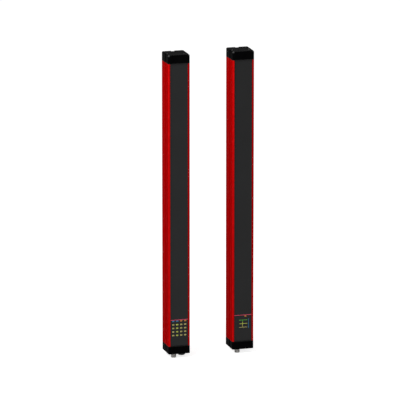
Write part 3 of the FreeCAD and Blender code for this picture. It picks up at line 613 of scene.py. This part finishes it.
class CURTAIN_OT_display(bpy.types.Operator):
    """Colour the display films and their plain printed fields."""

    bl_idname = "curtain.display"
    bl_label = "Colour the displays"

    def execute(self, context):
        film = moulded_material("display film", context.scene.curtain_finishes.window,
                                gloss=(0.18, 0.28), fine=1800.0, bump=0.000004, ior=1.2,
                                spread=0.08)
        wear(on_bars("display_film"), film)
        for bar, print_groups in zip(BARS, (RECEIVER_PRINT, TRANSMITTER_PRINT)):
            print_inks = printed_material(f"{bar} print", bar, print_groups, context.scene.curtain_inks)
            wear([f"{bar}_display_fields"], print_inks)
        return {"FINISHED"}


class CURTAIN_OT_caps(bpy.types.Operator):
    """Finish the moulded end caps, the blank plug and the cap screws."""

    bl_idname = "curtain.caps"
    bl_label = "Finish the caps"

    def execute(self, context):
        for cap in on_bars("top_cap", "bottom_cap"):
            black = moulded_material(f"{cap} moulding", context.scene.curtain_finishes.moulding,
                                     gloss=(0.38, 0.5), coarse=60.0, fine=1900.0, bump=0.00001,
                                     ior=1.025, spread=0.2)
            if cap.endswith("top_cap"):
                polish_upper_corners(black, cap)
            wear([cap], black)
        dull = moulded_material("blank plug moulding", context.scene.curtain_finishes.blank,
                                gloss=(0.4, 0.55), coarse=120.0, fine=1900.0, bump=0.00002)
        wear(on_bars("blank_plug"), dull)
        steel = moulded_material("screw steel", (0.45, 0.44, 0.42), gloss=(0.25, 0.4), fine=2200.0,
                                 bump=0.000008, metallic=1.0, lines=(1.0, 1.0, 0.05))
        wear(on_bars("cap_screws"), steel)
        return {"FINISHED"}


class CURTAIN_OT_plugs(bpy.types.Operator):
    """Cut the threaded plug shells and finish all connector parts."""

    bl_idname = "curtain.plugs"
    bl_label = "Thread the plugs"

    def execute(self, context):
        plated = moulded_material("nickel plating", context.scene.curtain_finishes.nickel,
                                  gloss=(0.22, 0.36), coarse=200.0, fine=2600.0, bump=0.000006,
                                  metallic=1.0, spread=0.08, lines=(1.0, 1.0, 30.0))
        for bar in BARS:
            low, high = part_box(f"{bar}_plug_shell")
            section, thread_low, thread_high, radius = shell_section(bar)
            sizes = ((low.x + high.x) / 2, (low.y + high.y) / 2, section, thread_low, thread_high, radius)
            shell = threaded_shell(f"{bar}_threaded_plug", sizes, context.scene.curtain_threads)
            shell.data.materials.append(plated)
            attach(shell, "root")
            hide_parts(f"{bar}_plug_shell")
        wear(on_bars("clamp_rings", "socket_shell"), plated)
        insert = moulded_material("connector insert", (0.02, 0.02, 0.022), gloss=(0.4, 0.55),
                                  bump=0.000008, ior=1.3)
        wear(on_bars("plug_insert", "socket_insert"), insert)
        gold = moulded_material("contact gold", (0.83, 0.58, 0.22), gloss=(0.16, 0.28), fine=3000.0,
                                bump=0.000003, metallic=1.0, spread=0.06)
        wear(on_bars("plug_pins", "socket_contacts"), gold)
        return {"FINISHED"}


class CURTAIN_OT_insides(bpy.types.Operator):
    """Finish the boards, optics and small parts inside the bars."""

    bl_idname = "curtain.insides"
    bl_label = "Finish the insides"

    def execute(self, context):
        finishes = (
            ("board green", (0.02, 0.16, 0.07), dict(gloss=(0.3, 0.45), coarse=160.0),
             ("plug_board", "optics_board", "control_board")),
            ("carrier black", (0.008, 0.008, 0.008), dict(gloss=(0.55, 0.7), ior=1.1),
             ("lens_carrier", "light_mask")),
            ("clear lens plastic", (0.55, 0.57, 0.6), dict(gloss=(0.06, 0.14), spread=0.05),
             ("lens_strip", "light_pipes")),
            ("chip body", (0.02, 0.02, 0.022), dict(gloss=(0.4, 0.55), fine=4000.0),
             ("control_chips", "detectors", "emitters")),
            ("spacer nylon", (0.6, 0.56, 0.47), dict(gloss=(0.45, 0.6)), ("board_spacers",)),
            ("grey ribbon", (0.28, 0.29, 0.31), dict(gloss=(0.4, 0.5), lines=(1.0, 1.0, 0.02)),
             ("ribbon_cable",)),
            ("spring steel", (0.6, 0.59, 0.57), dict(gloss=(0.2, 0.35), metallic=1.0,
                                                      lines=(1.0, 1.0, 0.02)), ("earth_spring",)),
            ("status light", (0.7, 0.7, 0.58), dict(gloss=(0.1, 0.2)), ("status_lights",)),
        )
        for name, colour, details, nodes in finishes:
            wear(on_bars(*nodes), moulded_material(name, colour, **details))
        return {"FINISHED"}


class CURTAIN_OT_stage(bpy.types.Operator):
    """Set the floor, the even sky, two soft lamps and the camera."""

    bl_idname = "curtain.stage"
    bl_label = "Set the stage"

    def execute(self, context):
        stage = context.scene.curtain_stage
        lay_floor(stage)
        light_sky(stage)
        middle = (cad_low + cad_high) / 2
        hang_lamp("key lamp", middle, KEY_LAMP_OFFSET, KEY_LAMP_SIDE, stage.key_power)
        hang_lamp("fill lamp", middle, FILL_LAMP_OFFSET, FILL_LAMP_SIDE, stage.fill_power)
        aim_camera(stage, middle)
        context.scene.view_settings.view_transform = "Standard"
        return {"FINISHED"}


# ------------------------------------------------------------------ stage
def seen_directly(tree):
    """1 for rays from the camera, and for those mirrored or passed on by the object; else 0."""
    path = place(tree, "ShaderNodeLightPath").outputs
    seen = calculate(tree, "MAXIMUM", path["Is Camera Ray"], path["Is Glossy Ray"])
    return calculate(tree, "MAXIMUM", seen, path["Is Transmission Ray"])


def lay_floor(stage):
    """Pale floor, lifted to white where it is seen directly and see-through from below."""
    reach = FLOOR_REACH
    mesh = bpy.data.meshes.new("floor")
    corners = [(-reach, -reach, 0.0), (reach, -reach, 0.0), (reach, reach, 0.0), (-reach, reach, 0.0)]
    mesh.from_pydata(corners, [], [(0, 1, 2, 3)])
    floor = bpy.data.objects.new("floor", mesh)
    bpy.context.scene.collection.objects.link(floor)
    material, tree, shader, _ = start_material("pale floor")
    shader.inputs["Base Color"].default_value = opaque(stage.floor)
    shader.inputs["Roughness"].default_value = 0.9
    shader.inputs["Specular IOR Level"].default_value = 0.0
    shader.inputs["Emission Color"].default_value = (1.0, 1.0, 1.0, 1.0)
    lift = calculate(tree, "MULTIPLY", seen_directly(tree), FLOOR_LIFT)
    tree.links.new(lift, shader.inputs["Emission Strength"])
    clear = place(tree, "ShaderNodeBsdfTransparent")
    below = place(tree, "ShaderNodeNewGeometry").outputs["Backfacing"]
    both = place(tree, "ShaderNodeMixShader", {0: below, 1: shader.outputs[0], 2: clear.outputs[0]})
    tree.links.new(both.outputs[0], tree.nodes["Material Output"].inputs["Surface"])
    mesh.materials.append(material)


def light_sky(stage):
    """Even light from all round, which is plain white where it is seen directly."""
    world = bpy.data.worlds.new("sky")
    bpy.context.scene.world = world
    world.use_nodes = True
    tree = world.node_tree
    even = tree.nodes["Background"]
    even.inputs["Color"].default_value = (1.0, 1.0, 1.0, 1.0)
    strength = place(tree, "ShaderNodeMapRange", {"Value": seen_directly(tree),
                                                  "To Min": stage.sky, "To Max": 1.0})
    tree.links.new(strength.outputs[0], even.inputs["Strength"])


def hang_lamp(name, middle, offset, side, power):
    """Square soft lamp at an offset from the middle of the pair, turned towards it."""
    lamp = bpy.data.lights.new(name, "AREA")
    lamp.shape = "SQUARE"
    lamp.size = side
    lamp.energy = power
    hung = bpy.data.objects.new(name, lamp)
    hung.location = middle + offset
    hung.rotation_euler = offset.to_track_quat("Z", "Y").to_euler()
    bpy.context.scene.collection.objects.link(hung)


def aim_camera(stage, middle):
    """Long lens whose picture is as wide as asked at the middle of the pair."""
    turn, rise = stage.azimuth, stage.elevation
    back = Vector((math.sin(turn) * math.cos(rise), -math.cos(turn) * math.cos(rise), math.sin(rise)))
    right = Vector((math.cos(turn), math.sin(turn), 0.0))
    up = back.cross(right)
    lens = bpy.data.cameras.new("camera")
    lens.sensor_width = SENSOR_WIDTH
    lens.lens = SENSOR_WIDTH * stage.distance / stage.picture_width
    lens.clip_start, lens.clip_end = 0.5, 200.0
    camera = bpy.data.objects.new("camera", lens)
    camera.location = middle - right * stage.aim_left + up * stage.aim_up + back * stage.distance
    camera.rotation_euler = back.to_track_quat("Z", "Y").to_euler()
    bpy.context.scene.collection.objects.link(camera)
    bpy.context.scene.camera = camera


# ------------------------------------------------------------------ panel and registration
OPERATORS = (CURTAIN_OT_housings, CURTAIN_OT_windows, CURTAIN_OT_display, CURTAIN_OT_caps,
             CURTAIN_OT_plugs, CURTAIN_OT_insides, CURTAIN_OT_stage)


class CURTAIN_PT_sidebar(bpy.types.Panel):
    """Lists the settings and the operators."""

    bl_label = "Light curtain"
    bl_idname = "CURTAIN_PT_sidebar"
    bl_space_type = "VIEW_3D"
    bl_region_type = "UI"
    bl_category = "Light curtain"

    def draw(self, context):
        for name, kind in SETTINGS.items():
            box = self.layout.box()
            for key in kind.__annotations__:
                box.prop(getattr(context.scene, name), key)
        for operator in OPERATORS:
            self.layout.operator(operator.bl_idname)


CLASSES = (*SETTINGS.values(), *OPERATORS, CURTAIN_PT_sidebar)


def register():
    """Register the classes and hang each group of settings on the scene."""
    for made in CLASSES:
        bpy.utils.register_class(made)
    for name, kind in SETTINGS.items():
        setattr(bpy.types.Scene, name, bpy.props.PointerProperty(type=kind))


def unregister():
    """Undo what register did, in the opposite order."""
    for name in reversed(SETTINGS):
        delattr(bpy.types.Scene, name)
    for made in reversed(CLASSES):
        bpy.utils.unregister_class(made)


def main():
    """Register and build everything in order."""
    register()
    for step in ("housings", "windows", "display", "caps", "plugs", "insides", "stage"):
        getattr(bpy.ops.curtain, step)()


if __name__ == "__main__":
    main()
